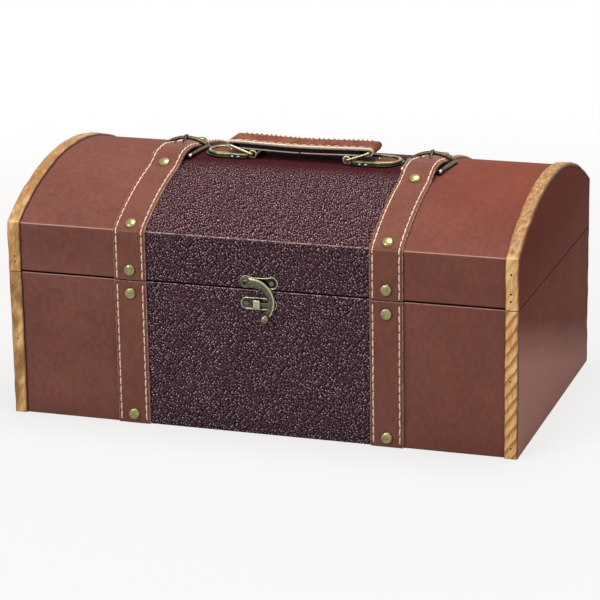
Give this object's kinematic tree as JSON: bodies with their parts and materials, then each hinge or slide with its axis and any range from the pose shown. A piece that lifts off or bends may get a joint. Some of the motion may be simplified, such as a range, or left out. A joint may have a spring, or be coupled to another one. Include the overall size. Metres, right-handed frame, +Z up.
{
  "type": "treasure chest",
  "caption": "Domed leather-covered keepsake chest with wooden edge strips, stitched straps, buckles, a swing clasp and a top handle.",
  "frame": {"origin": "centre of the underside, on the surface that the chest stands on", "axes": "+X to the right seen from the front, -Y towards the front with the clasp, +Z up"},
  "size_m": [0.42, 0.2632, 0.2101],
  "materials": {
    "board": "raw fibreboard",
    "plywood": "raw bent plywood",
    "smooth_leather": "smooth reddish brown, soft sheen",
    "embossed_leather": "pebble embossed dark aubergine, glossy",
    "underside_cloth": "plain dark cloth",
    "lining": "plain dark cloth",
    "trim_wood": "honey stained, open grain",
    "strap_leather": "smooth brown with cream stitching",
    "tack_brass": "antique, polished by wear",
    "clasp_brass": "antique, dark in the hollows",
    "hinge_brass": "antique",
    "bronze": "antique bronze",
    "rivet_steel": "plain zinc",
    "grip_leather": "brown top, dark cut edges, cream stitching",
    "filler": "pressed board"
  },
  "bodies": {
    "base": {"base_bottom_board": "board", "base_front_board": "board", "base_back_board": "board", "base_left_board": "board", "base_right_board": "board", "base_left_cover": "smooth_leather", "base_right_cover": "smooth_leather", "base_front_embossed_cover": "embossed_leather", "base_back_embossed_cover": "embossed_leather", "base_bottom_cover": "underside_cloth", "base_lining": "lining", "base_trim_front_left": "trim_wood", "base_trim_front_right": "trim_wood", "base_trim_back_left": "trim_wood", "base_trim_back_right": "trim_wood", "base_strap_front_left": "strap_leather", "base_strap_front_right": "strap_leather", "base_strap_back_left": "strap_leather", "base_strap_back_right": "strap_leather", "base_tacks": "tack_brass", "clasp_keeper": "clasp_brass", "base_screws": "clasp_brass", "base_hinge_leaf_left": "hinge_brass", "base_hinge_leaf_right": "hinge_brass", "hinge_pins": "hinge_brass"},
    "lid": {"lid_front_board": "board", "lid_back_board": "board", "lid_left_board": "board", "lid_right_board": "board", "dome_board": "plywood", "lid_left_cover": "smooth_leather", "lid_right_cover": "smooth_leather", "lid_left_end_cover": "smooth_leather", "lid_right_end_cover": "smooth_leather", "lid_embossed_cover": "embossed_leather", "lid_lining": "lining", "lid_trim_left": "trim_wood", "lid_trim_right": "trim_wood", "lid_strap_left": "strap_leather", "lid_strap_right": "strap_leather", "lid_tacks": "tack_brass", "buckle_left": "bronze", "buckle_right": "bronze", "buckle_prongs": "bronze", "clasp_plate": "clasp_brass", "clasp_rivet": "clasp_brass", "lid_screws": "clasp_brass", "bracket_left": "bronze", "bracket_right": "bronze", "bracket_pad_left": "strap_leather", "bracket_pad_right": "strap_leather", "bracket_rivets": "rivet_steel", "lid_hinge_leaf_left": "hinge_brass", "lid_hinge_leaf_right": "hinge_brass"},
    "clasp_arm": {"clasp_arm": "clasp_brass"},
    "handle_grip": {"handle_grip": "grip_leather", "grip_filler": "filler"},
    "handle_ring_left": {"handle_ring_left": "bronze"},
    "handle_ring_right": {"handle_ring_right": "bronze"}
  },
  "joints": [
    {"name": "lid_hinge", "type": "hinge", "parent": "base", "child": "lid", "pos_m": [0, 0.1266, 0.1195], "axis": [-1, 0, 0], "range_deg": [0, 100]},
    {"name": "clasp_swing", "type": "hinge", "parent": "lid", "child": "clasp_arm", "pos_m": [-0.0085, -0.1264, 0.1257], "axis": [0, -1, 0], "range_deg": [0, 100]},
    {"name": "handle_lift", "type": "slide", "parent": "lid", "child": "handle_grip", "axis": [0, 0, 1], "range_m": [0, 0.008]},
    {"name": "left_ring_swing", "type": "hinge", "parent": "lid", "child": "handle_ring_left", "pos_m": [-0.04, 0, 0.1994], "axis": [0, 1, 0], "range_deg": [0, 27]},
    {"name": "right_ring_swing", "type": "hinge", "parent": "lid", "child": "handle_ring_right", "pos_m": [0.04, 0, 0.1994], "axis": [0, -1, 0], "range_deg": [0, 27]}
  ],
  "couplings": [
    {"joint": "left_ring_swing", "follows": "handle_lift", "rad_per_m": 58.5},
    {"joint": "right_ring_swing", "follows": "handle_lift", "rad_per_m": 58.5}
  ]
}
